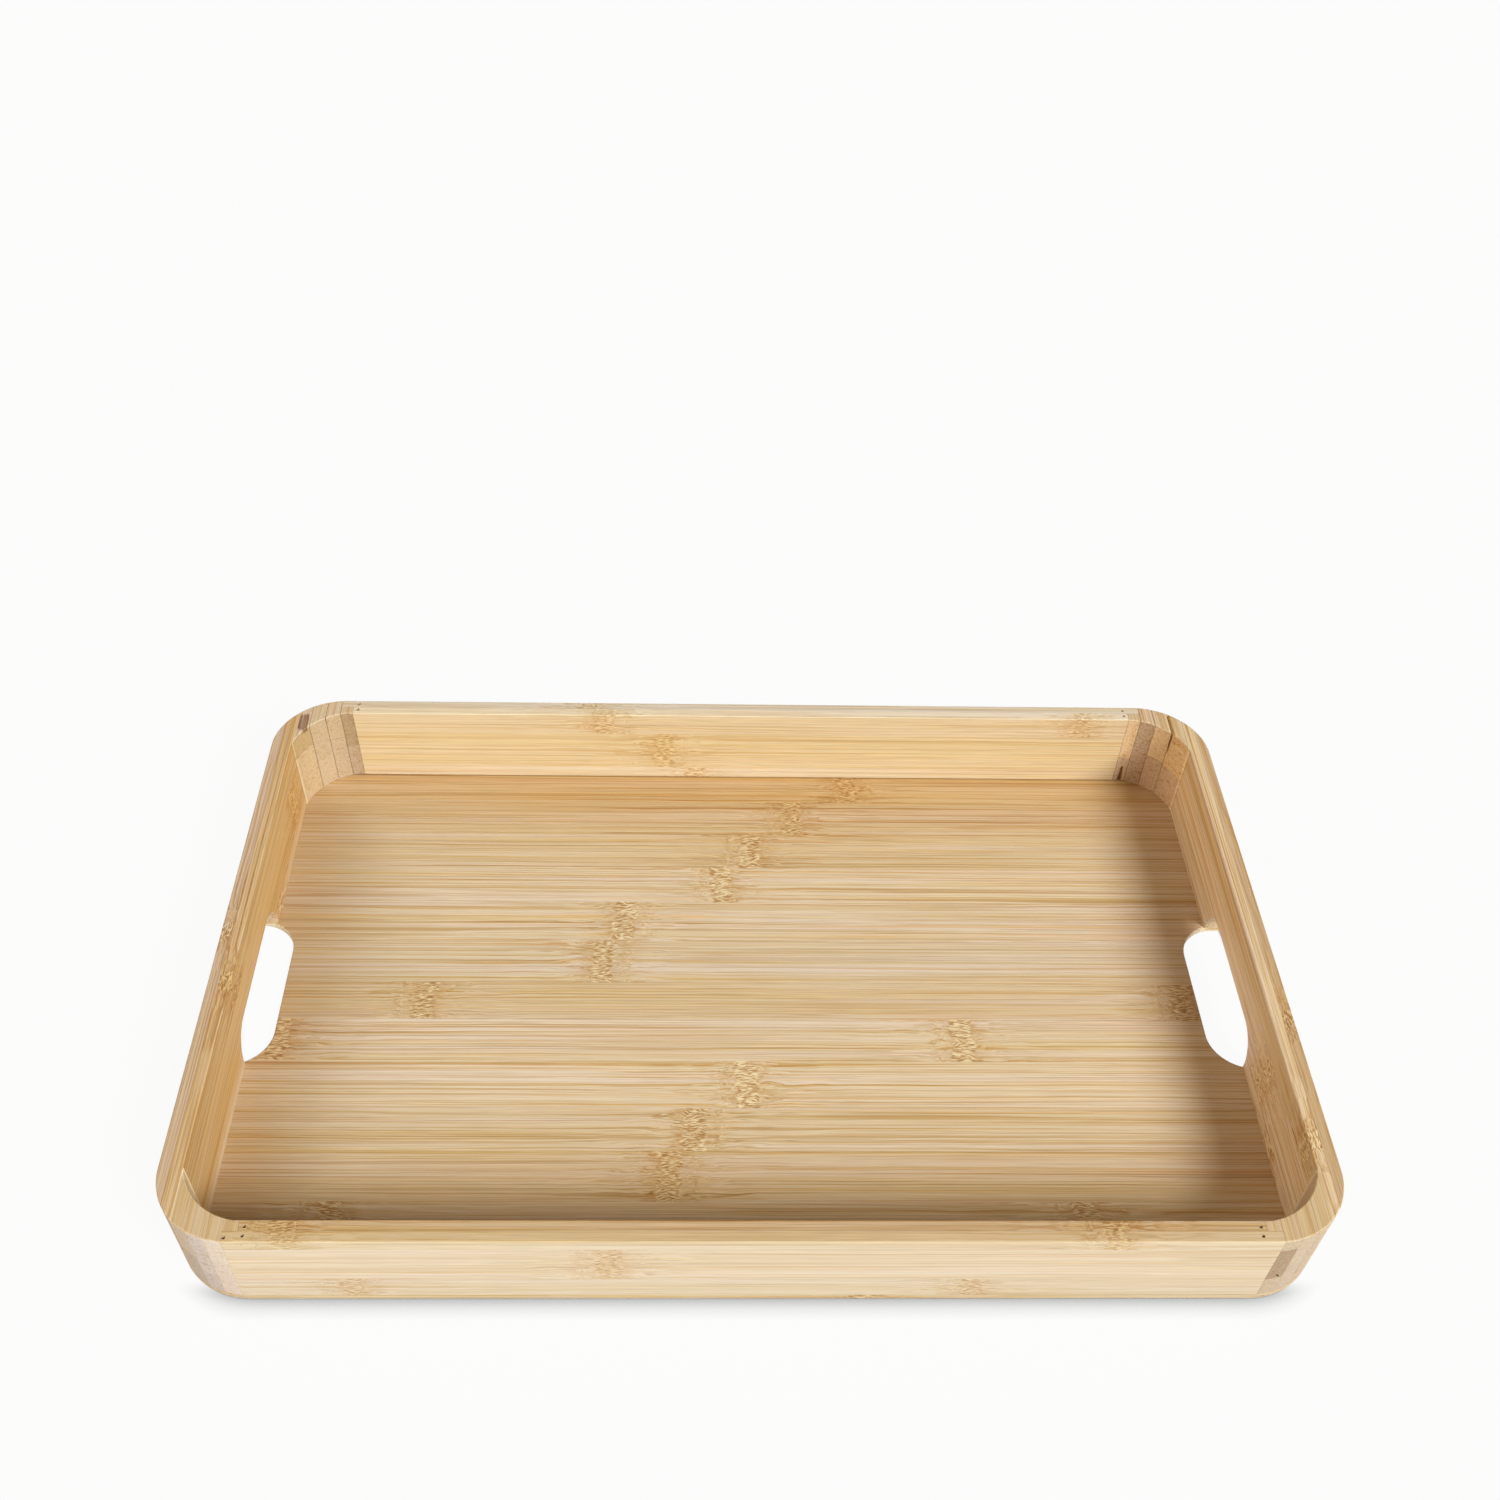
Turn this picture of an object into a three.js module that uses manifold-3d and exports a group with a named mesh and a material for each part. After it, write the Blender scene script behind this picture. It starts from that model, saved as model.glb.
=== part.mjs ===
// Serving tray in laminated bamboo, as a standalone three.js scene graph.
//
// A thin panel of edge-glued strips is the tray's floor and its whole underside. Four rails, each of
// two plies glued face to face, stand on it. The end rails run the full depth of the tray. A laminated
// block fills each inner corner; its first ply laps behind the outer ply of the long rail. The outer
// corners are rounded through the end rails and the blocks together. At each end a hand cut-out goes
// through the foot of the end rail and through the panel under it. Two wire pins stand beside each
// joint between a long rail and a corner block.
//
// Millimetres. The origin is the centre of the underside: +X along the length, +Y towards the rear
// rail, +Z up.

import * as THREE from 'three';
import { mergeVertices } from 'three/addons/utils/BufferGeometryUtils.js';
import Module from 'manifold-3d';

const wasm = await Module();
wasm.setup();

// Overall size
const LENGTH = 430;
const DEPTH = 286;
const HEIGHT = 42;
const OUTER_RADIUS = 30.5;

// Rails: two plies of equal thickness
const RAIL_THICKNESS = 9;
const PLY_THICKNESS = RAIL_THICKNESS / 2;

// The inner corner arc is cut a little proud of tangent, so it ends in a fine crease on each rail
const INNER_RADIUS = 27;
const INNER_ARC_INSET = 0.4;
const INNER_ARC_REACH = INNER_RADIUS - INNER_ARC_INSET;
const CREASE_ANGLE = Math.acos(INNER_ARC_REACH / INNER_RADIUS);

// Floor panel: strips with their grain along X, listed from the front edge to the rear edge.
// The last strip takes up what is left of the depth.
const FLOOR_THICKNESS = 3.5;
const STRIP_WIDTHS = [17.5, 22, 23, 20.5, 23.5, 21.75, 19.75, 23.75, 23, 21.5, 21.25, 22];

// Corner blocks: the planes between plies, as distances from the tray's centre along X
const BLOCK_PLY_PLANES = [181.5, 187, 193.5, 200];

// Hand cut-outs: an arch in the end rail's foot, and a scoop in the floor panel below it
const ARCH_HALF_WIDTH = 38;
const ARCH_TOP = 17.75;
const ARCH_CORNER_RADIUS = 12.5;
const SCOOP_HALF_WIDTH = 39;
const SCOOP_CORNER_RADIUS = 17;
const SCOOP_DEPTH_LEFT = 17.8;
const SCOOP_DEPTH_RIGHT = 20.7;

// Pins: one in each ply of a long rail, beside each corner joint
const PIN_RADIUS = 0.5;
const PIN_CLEARANCE = 0.15;
const PIN_SUNK = 0.6;
const PIN_HOLE_DEPTH = 20;
const PIN_X = 179.5;
const PIN_Y_INNER_PLY = 136.75;
const PIN_Y_OUTER_PLY = 140.5;
const PIN_SIDES = 16;

const ARC_SEGMENTS = 24;
const OVERSHOOT = 5;

const HALF_LENGTH = LENGTH / 2;
const HALF_DEPTH = DEPTH / 2;
const WELL_HALF_LENGTH = HALF_LENGTH - RAIL_THICKNESS;
const WELL_HALF_DEPTH = HALF_DEPTH - RAIL_THICKNESS;
const PLY_LINE_X = HALF_LENGTH - PLY_THICKNESS;
const PLY_LINE_Y = HALF_DEPTH - PLY_THICKNESS;
const LONG_RAIL_INNER_END = BLOCK_PLY_PLANES[0];
const LONG_RAIL_OUTER_END = BLOCK_PLY_PLANES[1];
const BLOCK_START_Y = WELL_HALF_DEPTH - INNER_ARC_REACH + INNER_RADIUS * Math.sin(CREASE_ANGLE);

const CORNERS = [
  { name: 'front_left', sideX: -1, sideY: -1 },
  { name: 'front_right', sideX: 1, sideY: -1 },
  { name: 'rear_left', sideX: -1, sideY: 1 },
  { name: 'rear_right', sideX: 1, sideY: 1 },
];

function bamboo(color) {
  return new THREE.MeshStandardMaterial({ color, roughness: 0.5, metalness: 0 });
}

const FLOOR_COLOR = 0xc9a272;
const LONG_RAIL_COLOR = 0xe6c896;
const END_RAIL_COLOR = 0xc99b5e;
const BLOCK_COLOR = 0xcfa878;
const PIN_COLOR = 0x4a453e;

// Closed geometry to a solid: only shared positions are kept
function solid(geometry) {
  const bare = geometry.clone();
  bare.deleteAttribute('normal');
  bare.deleteAttribute('uv');
  const merged = mergeVertices(bare, 1e-4);
  return new wasm.Manifold(new wasm.Mesh({
    numProp: 3,
    vertProperties: new Float32Array(merged.attributes.position.array),
    triVerts: new Uint32Array(merged.index.array),
  }));
}

function slab(x0, x1, y0, y1, z0, z1) {
  const box = new THREE.BoxGeometry(x1 - x0, y1 - y0, z1 - z0);
  box.translate((x0 + x1) / 2, (y0 + y1) / 2, (z0 + z1) / 2);
  return solid(box);
}

function plate(shape, z0, z1) {
  const settings = { depth: z1 - z0, bevelEnabled: false, curveSegments: ARC_SEGMENTS };
  const extrusion = new THREE.ExtrudeGeometry(shape, settings);
  extrusion.translate(0, 0, z0);
  return solid(extrusion);
}

function named(name, manifold, color) {
  const { vertProperties, triVerts } = manifold.getMesh();
  const geometry = new THREE.BufferGeometry();
  geometry.setAttribute('position', new THREE.BufferAttribute(new Float32Array(vertProperties), 3));
  geometry.setIndex(new THREE.BufferAttribute(new Uint32Array(triVerts), 1));
  geometry.computeVertexNormals();
  const mesh = new THREE.Mesh(geometry, bamboo(color));
  mesh.name = name;
  return mesh;
}

// Plan outline of the whole tray
function trayOutline() {
  const x = HALF_LENGTH - OUTER_RADIUS;
  const y = HALF_DEPTH - OUTER_RADIUS;
  const shape = new THREE.Shape();
  shape.absarc(x, y, OUTER_RADIUS, 0, Math.PI / 2);
  shape.absarc(-x, y, OUTER_RADIUS, Math.PI / 2, Math.PI);
  shape.absarc(-x, -y, OUTER_RADIUS, Math.PI, 1.5 * Math.PI);
  shape.absarc(x, -y, OUTER_RADIUS, 1.5 * Math.PI, 2 * Math.PI);
  shape.closePath();
  return shape;
}

// Plan outline of the space inside the rails
function wellOutline() {
  const x = WELL_HALF_LENGTH - INNER_ARC_REACH;
  const y = WELL_HALF_DEPTH - INNER_ARC_REACH;
  const crease = CREASE_ANGLE;
  const quarter = Math.PI / 2;
  const shape = new THREE.Shape();
  shape.absarc(x, y, INNER_RADIUS, crease, quarter - crease);
  shape.absarc(-x, y, INNER_RADIUS, quarter + crease, 2 * quarter - crease);
  shape.absarc(-x, -y, INNER_RADIUS, 2 * quarter + crease, 3 * quarter - crease);
  shape.absarc(x, -y, INNER_RADIUS, 3 * quarter + crease, 4 * quarter - crease);
  shape.closePath();
  return shape;
}

// Scoop in the floor panel: open at the tray's end, with two round inner corners
function scoop(sideX, depth) {
  const inner = HALF_LENGTH - depth;
  const centreX = inner + SCOOP_CORNER_RADIUS;
  const centreY = SCOOP_HALF_WIDTH - SCOOP_CORNER_RADIUS;
  const shape = new THREE.Shape();
  shape.moveTo(HALF_LENGTH + OVERSHOOT, SCOOP_HALF_WIDTH);
  shape.lineTo(centreX, SCOOP_HALF_WIDTH);
  shape.absarc(centreX, centreY, SCOOP_CORNER_RADIUS, Math.PI / 2, Math.PI);
  shape.absarc(centreX, -centreY, SCOOP_CORNER_RADIUS, Math.PI, 1.5 * Math.PI);
  shape.lineTo(HALF_LENGTH + OVERSHOOT, -SCOOP_HALF_WIDTH);
  shape.closePath();
  const cut = plate(shape, -OVERSHOOT, FLOOR_THICKNESS + OVERSHOOT);
  return sideX > 0 ? cut : cut.rotate([0, 0, 180]);
}

// Arch through both end rails: drawn with the width along the shape's x and the height along its y,
// extruded, then turned so that the extrusion runs along X
function arch() {
  const centreWidth = ARCH_HALF_WIDTH - ARCH_CORNER_RADIUS;
  const centreHeight = ARCH_TOP - ARCH_CORNER_RADIUS;
  const shape = new THREE.Shape();
  shape.moveTo(-ARCH_HALF_WIDTH, -OVERSHOOT);
  shape.lineTo(ARCH_HALF_WIDTH, -OVERSHOOT);
  shape.lineTo(ARCH_HALF_WIDTH, centreHeight);
  shape.absarc(centreWidth, centreHeight, ARCH_CORNER_RADIUS, 0, Math.PI / 2);
  shape.absarc(-centreWidth, centreHeight, ARCH_CORNER_RADIUS, Math.PI / 2, Math.PI);
  shape.closePath();
  const span = LENGTH + 2 * OVERSHOOT;
  const settings = { depth: span, bevelEnabled: false, curveSegments: ARC_SEGMENTS };
  const extrusion = new THREE.ExtrudeGeometry(shape, settings);
  extrusion.translate(0, 0, -span / 2);
  const turn = new THREE.Matrix4().makeBasis(
    new THREE.Vector3(0, 1, 0),
    new THREE.Vector3(0, 0, 1),
    new THREE.Vector3(1, 0, 0),
  );
  extrusion.applyMatrix4(turn);
  return solid(extrusion);
}

const ring = plate(trayOutline(), FLOOR_THICKNESS, HEIGHT)
  .subtract(plate(wellOutline(), FLOOR_THICKNESS - OVERSHOOT, HEIGHT + OVERSHOOT));
const frame = ring.subtract(arch());
const panel = plate(trayOutline(), 0, FLOOR_THICKNESS)
  .subtract(scoop(-1, SCOOP_DEPTH_LEFT))
  .subtract(scoop(1, SCOOP_DEPTH_RIGHT));

function cutFrame(x0, x1, y0, y1) {
  return frame.intersect(slab(x0, x1, y0, y1, 0, HEIGHT + OVERSHOOT));
}

// The same cut, mirrored to one side of an axis: the near and far distances swap with the sign
function between(side, near, far) {
  return side > 0 ? [near, far] : [-far, -near];
}

function addFloor(group) {
  let y = -HALF_DEPTH;
  for (let i = 0; i <= STRIP_WIDTHS.length; i += 1) {
    const top = i < STRIP_WIDTHS.length ? y + STRIP_WIDTHS[i] : HALF_DEPTH;
    const strip = panel.intersect(
      slab(-HALF_LENGTH - OVERSHOOT, HALF_LENGTH + OVERSHOOT, y, top, -OVERSHOOT, HEIGHT));
    const number = String(i + 1).padStart(2, '0');
    group.add(named(`floor_strip_${number}`, strip, FLOOR_COLOR));
    y = top;
  }
}

function addEndRails(group) {
  for (const [name, side] of [['left', -1], ['right', 1]]) {
    const [ix0, ix1] = between(side, WELL_HALF_LENGTH, PLY_LINE_X);
    const [ox0, ox1] = between(side, PLY_LINE_X, HALF_LENGTH + OVERSHOOT);
    const inner = cutFrame(ix0, ix1, -HALF_DEPTH, HALF_DEPTH);
    const outer = cutFrame(ox0, ox1, -HALF_DEPTH, HALF_DEPTH);
    group.add(named(`${name}_rail_inner_ply`, inner, END_RAIL_COLOR));
    group.add(named(`${name}_rail_outer_ply`, outer, END_RAIL_COLOR));
  }
}

// A hole at each end of the ply, for its pins
function pinned(ply, y) {
  const depth = PIN_HOLE_DEPTH + OVERSHOOT;
  let result = ply;
  for (const x of [-PIN_X, PIN_X]) {
    const hole = new THREE.CylinderGeometry(
      PIN_RADIUS + PIN_CLEARANCE, PIN_RADIUS + PIN_CLEARANCE, depth, PIN_SIDES);
    hole.rotateX(Math.PI / 2);
    hole.translate(x, y, HEIGHT - PIN_HOLE_DEPTH + depth / 2);
    result = result.subtract(solid(hole));
  }
  return result;
}

function addLongRails(group) {
  for (const [name, side] of [['front', -1], ['rear', 1]]) {
    const [iy0, iy1] = between(side, WELL_HALF_DEPTH, PLY_LINE_Y);
    const [oy0, oy1] = between(side, PLY_LINE_Y, HALF_DEPTH + OVERSHOOT);
    const inner = cutFrame(-LONG_RAIL_INNER_END, LONG_RAIL_INNER_END, iy0, iy1);
    const outer = cutFrame(-LONG_RAIL_OUTER_END, LONG_RAIL_OUTER_END, oy0, oy1);
    const innerPinned = pinned(inner, side * PIN_Y_INNER_PLY);
    const outerPinned = pinned(outer, side * PIN_Y_OUTER_PLY);
    group.add(named(`${name}_rail_inner_ply`, innerPinned, LONG_RAIL_COLOR));
    group.add(named(`${name}_rail_outer_ply`, outerPinned, LONG_RAIL_COLOR));
  }
}

// One corner block: the first ply stops at the long rail's ply line, where the outer ply laps it
function addBlock(group, corner) {
  const planes = [...BLOCK_PLY_PLANES, WELL_HALF_LENGTH];
  for (let i = 0; i < BLOCK_PLY_PLANES.length; i += 1) {
    const [x0, x1] = between(corner.sideX, planes[i], planes[i + 1]);
    const outerLimit = i === 0 ? PLY_LINE_Y : HALF_DEPTH;
    const [y0, y1] = between(corner.sideY, BLOCK_START_Y, outerLimit);
    const name = `corner_${corner.name}_ply_${i + 1}`;
    group.add(named(name, cutFrame(x0, x1, y0, y1), BLOCK_COLOR));
  }
}

function addPins(group, corner) {
  const length = PIN_HOLE_DEPTH - PIN_SUNK;
  for (const [ply, y] of [['inner', PIN_Y_INNER_PLY], ['outer', PIN_Y_OUTER_PLY]]) {
    const pin = new THREE.CylinderGeometry(PIN_RADIUS, PIN_RADIUS, length, PIN_SIDES);
    pin.rotateX(Math.PI / 2);
    const steel = new THREE.MeshStandardMaterial({ color: PIN_COLOR, roughness: 0.4, metalness: 0.9 });
    const mesh = new THREE.Mesh(pin, steel);
    mesh.name = `pin_${corner.name}_${ply}`;
    const z = HEIGHT - PIN_HOLE_DEPTH + length / 2;
    mesh.position.set(corner.sideX * PIN_X, corner.sideY * y, z);
    group.add(mesh);
  }
}

const group = new THREE.Group();
addFloor(group);
addEndRails(group);
addLongRails(group);
for (const corner of CORNERS) {
  addBlock(group, corner);
  addPins(group, corner);
}

export default group;
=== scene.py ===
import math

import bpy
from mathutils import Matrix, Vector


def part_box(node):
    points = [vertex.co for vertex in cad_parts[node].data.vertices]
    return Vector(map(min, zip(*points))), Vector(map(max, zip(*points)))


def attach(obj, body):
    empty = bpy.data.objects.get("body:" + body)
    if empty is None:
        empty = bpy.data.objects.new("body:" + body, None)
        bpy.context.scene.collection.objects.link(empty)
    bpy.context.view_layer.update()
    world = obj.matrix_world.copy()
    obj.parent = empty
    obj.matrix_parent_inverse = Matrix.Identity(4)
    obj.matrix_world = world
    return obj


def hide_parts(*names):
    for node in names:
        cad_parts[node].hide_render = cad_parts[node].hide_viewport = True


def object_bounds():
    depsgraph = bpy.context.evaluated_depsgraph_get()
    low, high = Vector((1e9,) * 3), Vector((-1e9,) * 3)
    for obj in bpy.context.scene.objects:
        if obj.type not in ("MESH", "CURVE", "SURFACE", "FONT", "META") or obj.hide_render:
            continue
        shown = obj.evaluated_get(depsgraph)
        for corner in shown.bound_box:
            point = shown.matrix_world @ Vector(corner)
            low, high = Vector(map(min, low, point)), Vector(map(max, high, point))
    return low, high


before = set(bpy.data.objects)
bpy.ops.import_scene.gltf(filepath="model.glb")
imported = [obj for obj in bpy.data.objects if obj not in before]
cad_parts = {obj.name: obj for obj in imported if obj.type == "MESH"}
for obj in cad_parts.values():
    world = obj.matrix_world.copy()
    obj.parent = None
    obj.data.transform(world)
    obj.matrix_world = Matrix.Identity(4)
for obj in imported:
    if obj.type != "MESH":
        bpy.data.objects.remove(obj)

# Serving tray in laminated bamboo: the looks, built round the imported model.
#
# Metres, +X along the tray, +Y towards the rear rail, +Z up, origin at the centre of the underside.
# One ring of rails and corner blocks and one floor panel are modelled with rounded edges. The hand
# cut-outs, pin holes and small flaws are taken out of them, and both are then cut into the strips and
# plies of the real tray, with a hairline left at every glue line. Each strip has its own bamboo: its
# tone, its seed and the places of its growth nodes, which are called knuckles here to tell them from
# shader nodes.

CAD_LOW, CAD_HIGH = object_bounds()

MM = 0.001
MM_PER_METRE = 1000.0

# ---------------------------------------------------------------- sizes

HALF_LENGTH = CAD_HIGH.x
HALF_DEPTH = CAD_HIGH.y
HEIGHT = CAD_HIGH.z
FLOOR_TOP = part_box("floor_strip_07")[1].z
WELL_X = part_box("right_rail_inner_ply")[0].x
WELL_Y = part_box("rear_rail_inner_ply")[0].y

OUTER_RADIUS = 30.5 * MM
INNER_RADIUS = 27.0 * MM
INNER_REACH = 26.6 * MM

ARCH_HALF_WIDTH = 38.0 * MM
ARCH_TOP = 17.75 * MM
ARCH_RADIUS = 12.5 * MM
SCOOP_HALF_WIDTH = 39.0 * MM
SCOOP_RADIUS = 17.0 * MM
SCOOP_DEPTH = {-1: 17.8 * MM, 1: 20.7 * MM}

PIN_RADIUS = 0.5 * MM
PIN_TIP_RADIUS = 0.35 * PIN_RADIUS
PIN_SHANK_RADIUS = 0.99 * PIN_RADIUS
PIN_SHOULDER_RADIUS = 0.86 * PIN_RADIUS
PIN_CAP_RADIUS = 0.45 * PIN_RADIUS
PIN_DOME = 0.12 * MM
PIN_POINT = 0.6 * MM
PIN_HOLE_RADIUS = 0.65 * MM
PIN_HOLE_DEPTH = 20.0 * MM
# The holes at the rear left are chipped wider than the others
CHIPPED_HOLE_RADIUS = 0.9 * MM

# Radii of the rounded edges
RIM_EASE = 0.6 * MM
FOOT_EASE = 1.1 * MM
ARCH_EASE = 1.0 * MM
SCOOP_EASE = 0.8 * MM

# Widths of the glue lines. Those of the rear blocks are the widest
SEAM = 0.07 * MM
REAR_BLOCK_SEAM = 0.2 * MM
FRONT_BLOCK_SEAM = 0.1 * MM

ARC_STEPS = 28
EASE_STEPS = 5
PIN_SIDES = 24
CREASE_ANGLE = 32.0
# How far a cutter reaches past what it cuts
BEYOND = 5.0 * MM

# Heights of the glue lines between the strips of a rail ply
INNER_PLY_SEAMS = (9.7 * MM, 30.6 * MM)
OUTER_PLY_SEAMS = (15.5 * MM, 36.6 * MM)
LEVEL_NAMES = ("low", "middle", "top")

# ---------------------------------------------------------------- camera, light and ground

CAMERA_PLACE = (-0.0235, -0.41655, 0.52295)
CAMERA_TURN = (41.008, -1.295, -0.718)
CAMERA_LENS = 37.217
CAMERA_SHIFT = (0.0127, 0.1203)
CAMERA_NEAR = 0.01

# Broad lamps far away: (name, direction towards the lamp, strength, colour, width in degrees)
LAMPS = (
    ("key_light", (0.503, -0.571, 0.646), 3.5, (1.0, 1.0, 1.0), 24.0),
    ("fill_light", (-0.84, -0.10, 0.53), 0.95, (1.0, 0.78, 0.60), 50.0),
)
SKY_COLOUR = (1.0, 0.82, 0.68, 1.0)
SKY_STRENGTH = 0.20
BACKDROP_COLOUR = (0.97, 0.97, 0.97, 1.0)

GROUND_HALF_SIZE = 8.0
GROUND_DROP = 0.15 * MM
GROUND_GLOW = 0.94
GROUND_ALBEDO = 0.03
CONTACT_REACH = 9.0 * MM
CONTACT_DEPTH = 0.75


def make_camera():
    data = bpy.data.cameras.new("camera")
    data.lens = CAMERA_LENS
    data.shift_x, data.shift_y = CAMERA_SHIFT
    data.clip_start = CAMERA_NEAR
    camera = bpy.data.objects.new("camera", data)
    camera.location = CAMERA_PLACE
    camera.rotation_euler = [math.radians(angle) for angle in CAMERA_TURN]
    bpy.context.scene.collection.objects.link(camera)
    bpy.context.scene.camera = camera


def make_lamps():
    for name, towards, strength, colour, width in LAMPS:
        data = bpy.data.lights.new(name, "SUN")
        data.energy = strength
        data.color = colour
        data.angle = math.radians(width)
        light = bpy.data.objects.new(name, data)
        light.rotation_euler = Vector(towards).to_track_quat("Z", "Y").to_euler()
        bpy.context.scene.collection.objects.link(light)


# ---------------------------------------------------------------- node helper

class Graph:
    """Adds nodes to one tree. Numbers or sockets go in, and each call gives back an output socket."""

    def __init__(self, tree):
        self.tree = tree

    def node(self, kind, inputs, out=0, **settings):
        made = self.tree.nodes.new("ShaderNode" + kind)
        for name, value in settings.items():
            setattr(made, name, value)
        for key, value in inputs.items():
            if isinstance(value, bpy.types.NodeSocket):
                self.tree.links.new(value, made.inputs[key])
            else:
                made.inputs[key].default_value = value
        return made.outputs[out]

    def math(self, operation, first, second=0.0, third=0.0):
        inputs = {0: first, 1: second, 2: third}
        return self.node("Math", inputs, operation=operation)

    def product(self, first, *others):
        for other in others:
            first = self.math("MULTIPLY", first, other)
        return first

    def total(self, first, *others):
        for other in others:
            first = self.math("ADD", first, other)
        return first

    def split(self, vector):
        made = self.tree.nodes.new("ShaderNodeSeparateXYZ")
        self.tree.links.new(vector, made.inputs[0])
        return made.outputs[0], made.outputs[1], made.outputs[2]

    def join(self, x, y, z):
        return self.node("CombineXYZ", {0: x, 1: y, 2: z})

    def noise(self, x, y, z, detail=2.0, roughness=0.5):
        inputs = {"Vector": self.join(x, y, z), "Scale": 1.0, "Detail": detail, "Roughness": roughness}
        return self.node("TexNoise", inputs)

    def ramp(self, value, low, high, start=0.0, end=1.0):
        """Goes smoothly from start to end as value goes from low to high, and stays there."""
        inputs = {0: value, 1: low, 2: high, 3: start, 4: end}
        return self.node("MapRange", inputs, interpolation_type="SMOOTHSTEP")

    def bell(self, distance, width):
        """1 where distance is 0, and almost nothing past twice the width."""
        scaled = self.math("DIVIDE", distance, width)
        return self.math("EXPONENT", self.product(scaled, scaled, -1.0))

    def mix(self, factor, first, second, blend="MIX"):
        inputs = {0: factor, 6: first, 7: second}
        return self.node("Mix", inputs, out=2, data_type="RGBA", blend_type=blend)

    def tint(self, colour, factor, shade):
        """Multiplies colour by shade, as far as factor says."""
        return self.mix(factor, colour, (*shade, 1.0), blend="MULTIPLY")


# ---------------------------------------------------------------- bamboo

# Shades multiply a strip's tone. These are the tints and fibres of the long faces
BLUSH_SHADE = (1.03, 1.05, 1.20)
GOLD_SHADE = (0.98, 0.91, 0.70)
AMBER_SHADE = (1.00, 0.85, 0.66)
LINE_SHADE = (0.80, 0.69, 0.51)
THREAD_SHADE = (0.77, 0.64, 0.46)

# Shades of the knuckles and the cut ends, and the painted highlight of the rounded upper edges
HALO_SHADE = (0.88, 0.71, 0.50)
KNUCKLE_PALE = (1.13, 1.16, 1.08)
KNUCKLE_GOLD = (0.95, 0.80, 0.56)
KNUCKLE_DARK = (0.58, 0.39, 0.23)
END_SHADE = (0.97, 0.94, 0.93)
DOT_SHADE = (0.84, 0.77, 0.71)
EDGE_HIGHLIGHT = (1.04, 1.09, 1.14)

# Layers of fibres: length and width in mm, then the noise's detail, roughness and offset
CLOUD = (420.0, 6.5, 2.0, 0.6, 0.0)
GOLD = (300.0, 1.6, 2.0, 0.6, 3.3)
AMBER = (260.0, 0.95, 2.0, 0.6, 8.1)
LINE = (170.0, 0.50, 2.0, 0.65, 5.7)
FLECK = (34.0, 0.5, 2.0, 0.6, 4.4)
HAIR = (16.0, 0.24, 1.0, 0.5, 1.9)

# Thin threads: length and width in mm, then thickness as a share of the noise, and offset
COARSE_THREADS = (700.0, 2.1, 0.075, 2.2)
CLOSE_THREADS = (450.0, 0.85, 0.11, 6.4)
CLOSE_THREADS_SHARE = 0.75

# How the fibres bend: steps per mm along and across the strip, then size in mm
WANDERING = (0.008, 0.06, 2.4)
CROWDING = (0.09, 0.34, 6.0)
RIPPLING = (0.045, 0.28, 4.0)

# How ragged a knuckle's middle line is: steps per mm across the strip, then size in mm
FINE_RAG = (0.9, 4.0)
SLOW_RAG = (0.16, 6.0)

# A knuckle's other sizes, in mm
BAND_OUTSIDE = 5.6
BAND_INSIDE = 4.0
HALO_REACH = 7.0
HALO_SHIFT = 1.8
ECHO_REACH = 2.6
ECHO_SHIFT = 10.0
FAN_REACH = 15.0
FLECK_REACH = 30.0
RIPPLE_REACH = 34.0
STROKE_LENGTH = 2.9
STROKE_WIDTH = 0.42
NO_KNUCKLE = 9999.0

# How the strokes tilt: steps per mm along and across the strip, then size per mm from the middle line
STROKE_TILT = (0.12, 0.20, 1.3)

DOT_LENGTH = 60.0
DOT_WIDTH = 0.7
SEED_STEP = 17.31
BUMP_STRENGTH = 0.55
BUMP_DEPTH = 0.12 * MM
SPECULAR_LEVEL = 0.34


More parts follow.
